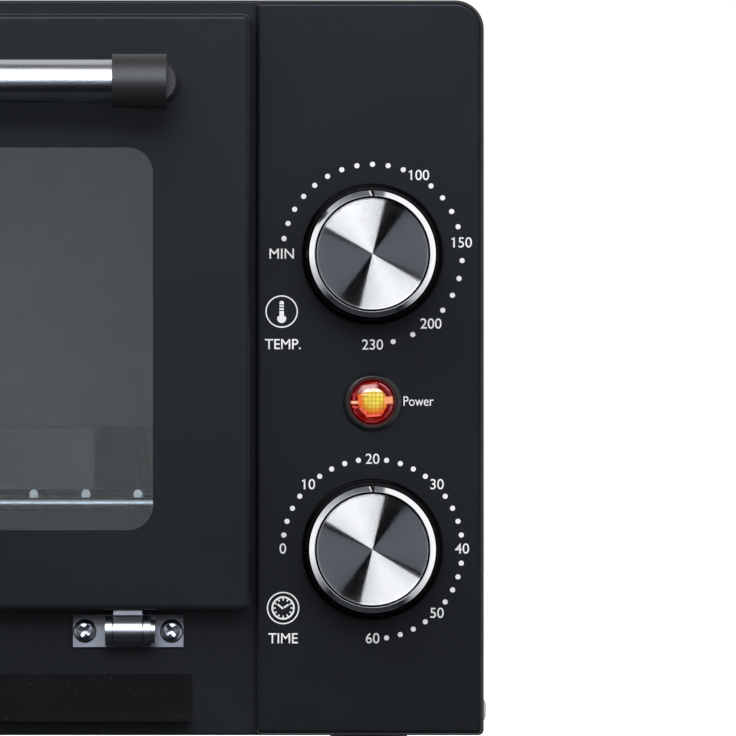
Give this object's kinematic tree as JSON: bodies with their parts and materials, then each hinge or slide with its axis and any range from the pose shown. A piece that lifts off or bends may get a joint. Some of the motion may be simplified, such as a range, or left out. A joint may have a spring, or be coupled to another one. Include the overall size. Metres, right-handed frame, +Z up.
{
  "type": "mini oven",
  "caption": "Bench-top mini oven with a bottom-hinged glass door, a temperature knob, a pilot lamp, a timer knob, a wire rack, a baking tray and a crumb tray.",
  "frame": {"origin": "on the table under the middle of the outline", "axes": "+Z up, the front with the door and controls faces -Y, +X to the right seen from the front"},
  "size_m": [0.3636, 0.3204, 0.217],
  "materials": {
    "casing_paint": "satin anthracite powder coat",
    "panel_paint": "satin anthracite, printed in white",
    "handle_plastic": "matte",
    "foot_rubber": "matte",
    "zinc_plate": "bright zinc",
    "aluminised_sheet": "mill finish",
    "enamel": "gloss black enamel",
    "chrome_plate": "polished",
    "handle_tube": "brushed stainless",
    "spun_aluminium": "spun",
    "knob_plastic": "gloss black",
    "heater_sheath": "heat-tinted stainless",
    "bush_ceramic": "unglazed",
    "window_glass": "clear float",
    "lens_red": "clear red-orange",
    "bezel_plastic": "satin black",
    "holder_plastic": "heat-resistant white",
    "bulb_glass": "clear",
    "control_resin": "brown phenolic",
    "timer_resin": "white",
    "shaft_steel": "turned",
    "spring_steel": "drawn",
    "terminal_resin": "white",
    "gland_plastic": "black",
    "wire_insulation": "braided sleeve",
    "screen_ink": "white screen-printed ink"
  },
  "bodies": {
    "housing": {"front_frame": "casing_paint", "control_panel": "panel_paint", "outer_cover": "casing_paint", "rear_cover": "casing_paint", "base_plate": "zinc_plate", "feet": "foot_rubber", "foot_screws": "zinc_plate", "rear_spacers": "handle_plastic", "cover_screws": "zinc_plate", "cavity_left_wall": "aluminised_sheet", "cavity_right_wall": "aluminised_sheet", "cavity_top": "aluminised_sheet", "cavity_back": "aluminised_sheet", "upper_heaters": "heater_sheath", "lower_heaters": "heater_sheath", "heater_bushes": "bush_ceramic", "heater_links": "zinc_plate", "heat_shield": "aluminised_sheet", "crumb_guides": "zinc_plate", "hinge_brackets": "zinc_plate", "hinge_pins": "zinc_plate", "hinge_screws": "zinc_plate", "door_springs": "spring_steel", "spring_anchors": "zinc_plate", "thermostat_body": "control_resin", "timer_case": "timer_resin", "control_straps": "zinc_plate", "control_screws": "zinc_plate", "timer_bell": "zinc_plate", "bell_screw": "zinc_plate", "lamp_lens": "lens_red", "lamp_bezel": "bezel_plastic", "lamp_holder": "holder_plastic", "neon_bulb": "bulb_glass", "lamp_clip": "spring_steel", "terminal_block": "terminal_resin", "cord_gland": "gland_plastic", "gland_nut": "gland_plastic", "earth_screw": "zinc_plate", "wiring": "wire_insulation"},
    "door": {"door_frame": "casing_paint", "door_glass": "window_glass", "glass_retainer": "enamel", "handle_bar": "handle_tube", "handle_posts": "handle_plastic", "handle_screws": "zinc_plate", "hinge_leaves": "zinc_plate", "door_arms": "zinc_plate"},
    "temperature_control": {"temperature_knob_skirt": "knob_plastic", "temperature_knob_rim": "chrome_plate", "temperature_knob_cap": "spun_aluminium", "thermostat_shaft": "shaft_steel"},
    "timer_control": {"timer_knob_skirt": "knob_plastic", "timer_knob_rim": "chrome_plate", "timer_knob_cap": "spun_aluminium", "timer_shaft": "shaft_steel"},
    "crumb_drawer": {"crumb_tray": "enamel"},
    "rack": {"wire_rack": "chrome_plate", "baking_tray": "enamel"},
    "bell_striker": {"bell_hammer": "spring_steel"}
  },
  "joints": [
    {"name": "door_hinge", "type": "hinge", "parent": "housing", "child": "door", "pos_m": [0, -0.12075, 0.042], "axis": [1, 0, 0], "range_deg": [0, 90], "deforming": ["door_springs"]},
    {"name": "temperature_knob_turn", "type": "hinge", "parent": "housing", "child": "temperature_control", "pos_m": [0.1501, -0.11755, 0.1465], "axis": [0, 1, 0], "range_deg": [-90, 180]},
    {"name": "timer_knob_turn", "type": "hinge", "parent": "housing", "child": "timer_control", "pos_m": [0.1501, -0.11755, 0.0647], "axis": [0, 1, 0], "range_deg": [-90, 180]},
    {"name": "crumb_tray_slide", "type": "slide", "parent": "housing", "child": "crumb_drawer", "axis": [0, -1, 0], "range_m": [0, 0.12]},
    {"name": "rack_slide", "type": "slide", "parent": "housing", "child": "rack", "axis": [0, -1, 0], "range_m": [0, 0.0472]},
    {"name": "bell_hammer_stroke", "type": "slide", "parent": "housing", "child": "bell_striker", "axis": [0, 0, 1], "range_m": [0, 0.0017]}
  ],
  "couplings": [
    {"joint": "rack_slide", "follows": "door_hinge", "m_per_rad": 0.03}
  ]
}
